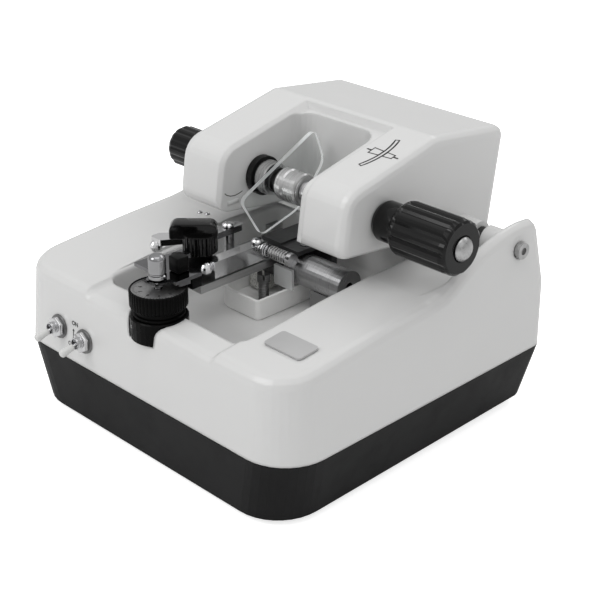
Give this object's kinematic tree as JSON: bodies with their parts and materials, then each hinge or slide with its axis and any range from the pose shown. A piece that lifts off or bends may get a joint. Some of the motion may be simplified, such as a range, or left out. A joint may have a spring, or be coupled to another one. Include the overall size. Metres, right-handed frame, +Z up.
{
  "type": "lens groover",
  "caption": "Table-top lens groover: white casing with a hinged U-shaped head that clamps and turns a lens over a small wheel, depth dial, guide arms, selector and toggle switches.",
  "frame": {"origin": "on the underside of the bottom cover, in the middle of the seam between skirt and casing", "axes": "+X to the right seen from the front, +Y to the back, +Z up"},
  "size_m": [0.1809, 0.1808, 0.124],
  "materials": {
    "black_skirt": "fine satin",
    "inner_plate": "matt grey",
    "rubber": "matt",
    "white_shell": "smooth gloss",
    "white_hood": "smooth gloss",
    "grey_plate": "satin",
    "black_knob": "satin black",
    "board_green": "solder mask",
    "chrome": "polished",
    "white_plastic": "smooth",
    "satin_steel": "turned and satin",
    "dark_steel": "blackened",
    "motor_can": "satin",
    "sponge": "open foam",
    "guard_plastic": "pale, clear-cut edges",
    "clear_lens": "polished"
  },
  "bodies": {
    "machine": {"adjust_screw": "satin_steel", "base_skirt": "black_skirt", "bottom_cover": "inner_plate", "foot_front_left": "rubber", "foot_front_right": "rubber", "foot_back_left": "rubber", "foot_back_right": "rubber", "upper_casing": "white_shell", "label_plate": "grey_plate", "power_inlet": "black_knob", "circuit_board": "board_green", "toggle_switch_left": "chrome", "toggle_switch_right": "chrome", "dial_collar": "black_knob", "carriage_pivot": "satin_steel", "wheel_bracket": "dark_steel", "bracket_screw": "black_knob", "wheel_motor": "motor_can", "motor_saddle": "inner_plate", "water_cup": "white_plastic", "sponge": "sponge", "splash_guard": "guard_plastic", "hinge_screw_left": "satin_steel", "hinge_screw_right": "satin_steel", "hinge_washer_left": "black_knob", "hinge_washer_right": "black_knob"},
    "head": {"hood_shell": "white_hood", "hood_underplate": "inner_plate", "left_bush": "black_knob", "lens_motor": "motor_can", "lens_belt": "rubber"},
    "lens_holder": {"left_knob": "black_knob", "left_spindle": "satin_steel", "left_chuck": "satin_steel", "left_pad": "rubber", "clamped_lens": "clear_lens"},
    "lens_motor_shaft": {"lens_motor_pulley": "satin_steel"},
    "clamp": {"clamp_knob": "black_knob", "knob_cap": "chrome"},
    "clamp_slider": {"clamp_shaft": "chrome"},
    "right_holder": {"right_chuck": "satin_steel", "right_pad": "rubber"},
    "wheel": {"grooving_wheel": "satin_steel", "wheel_arbor": "chrome"},
    "dial": {"depth_dial": "black_knob", "dial_face": "satin_steel"},
    "post": {"depth_post": "chrome"},
    "carriage": {"guide_base": "grey_plate", "front_plate": "satin_steel", "selector_block": "black_knob", "right_arm_screw": "chrome", "left_arm_screw": "chrome"},
    "selector": {"selector_knob": "black_knob"},
    "right_arm": {"right_guide_arm": "chrome", "tension_bolt": "chrome", "guide_spring": "chrome"},
    "left_arm": {"left_guide_arm": "chrome"},
    "toggle_left": {"toggle_lever_left": "white_plastic"},
    "toggle_right": {"toggle_lever_right": "white_plastic"}
  },
  "joints": [
    {"name": "head_lift", "type": "hinge", "parent": "machine", "child": "head", "pos_m": [0, 0.0629, 0.0729], "axis": [-1, 0, 0], "range_deg": [0, 58]},
    {"name": "lens_spin", "type": "hinge", "parent": "head", "child": "lens_holder", "pos_m": [0, 0.013, 0.09175], "axis": [1, 0, 0], "continuous": true},
    {"name": "lens_motor_spin", "type": "hinge", "parent": "head", "child": "lens_motor_shaft", "pos_m": [-0.042, 0.066, 0.092], "axis": [1, 0, 0], "continuous": true},
    {"name": "clamp_turn", "type": "hinge", "parent": "head", "child": "clamp", "pos_m": [0.0613, 0.013, 0.09175], "axis": [1, 0, 0], "range_deg": [0, 720]},
    {"name": "clamp_slide", "type": "slide", "parent": "head", "child": "clamp_slider", "axis": [1, 0, 0], "range_m": [0, 0.012]},
    {"name": "right_chuck_spin", "type": "hinge", "parent": "clamp_slider", "child": "right_holder", "pos_m": [0, 0.013, 0.09175], "axis": [1, 0, 0], "continuous": true},
    {"name": "wheel_spin", "type": "hinge", "parent": "machine", "child": "wheel", "pos_m": [-0.0107, 0.006, 0.0595], "axis": [1, 0, 0], "continuous": true},
    {"name": "dial_turn", "type": "hinge", "parent": "machine", "child": "dial", "pos_m": [0.0015, -0.0662, 0.0603], "axis": [0, 0, 1], "range_deg": [0, 300]},
    {"name": "post_lift", "type": "slide", "parent": "machine", "child": "post", "axis": [0, 0, 1], "range_m": [0, 0.002]},
    {"name": "carriage_tilt", "type": "hinge", "parent": "machine", "child": "carriage", "pos_m": [0, 0.022, 0.06095], "axis": [-1, 0, 0], "range_deg": [0, 1.27]},
    {"name": "selector_turn", "type": "hinge", "parent": "carriage", "child": "selector", "pos_m": [-0.011, -0.0331, 0.0733], "axis": [0, 0, 1], "range_deg": [0, 60]},
    {"name": "right_arm_swing", "type": "hinge", "parent": "carriage", "child": "right_arm", "pos_m": [-0.0036, -0.0075, 0.0636], "axis": [0, 0, 1], "range_deg": [-3, 0]},
    {"name": "left_arm_swing", "type": "hinge", "parent": "carriage", "child": "left_arm", "pos_m": [-0.0181, -0.011, 0.0725], "axis": [0, 0, 1], "range_deg": [0, 4]},
    {"name": "toggle_left_flip", "type": "hinge", "parent": "machine", "child": "toggle_left", "pos_m": [-0.0535, -0.08058, 0.0383], "axis": [-1, 0, 0], "range_deg": [0, 36]},
    {"name": "toggle_right_flip", "type": "hinge", "parent": "machine", "child": "toggle_right", "pos_m": [-0.0357, -0.08065, 0.0375], "axis": [-1, 0, 0], "range_deg": [0, 36]}
  ],
  "couplings": [
    {"joint": "lens_motor_spin", "follows": "lens_spin", "ratio": 1},
    {"joint": "right_chuck_spin", "follows": "lens_spin", "ratio": 1},
    {"joint": "clamp_turn", "follows": "clamp_slide", "rad_per_m": 1047.2},
    {"joint": "post_lift", "follows": "dial_turn", "m_per_rad": 0.00038197},
    {"joint": "carriage_tilt", "follows": "dial_turn", "ratio": 0.0042333},
    {"joint": "right_arm_swing", "follows": "selector_turn", "ratio": -0.05},
    {"joint": "left_arm_swing", "follows": "selector_turn", "ratio": 0.066667}
  ]
}
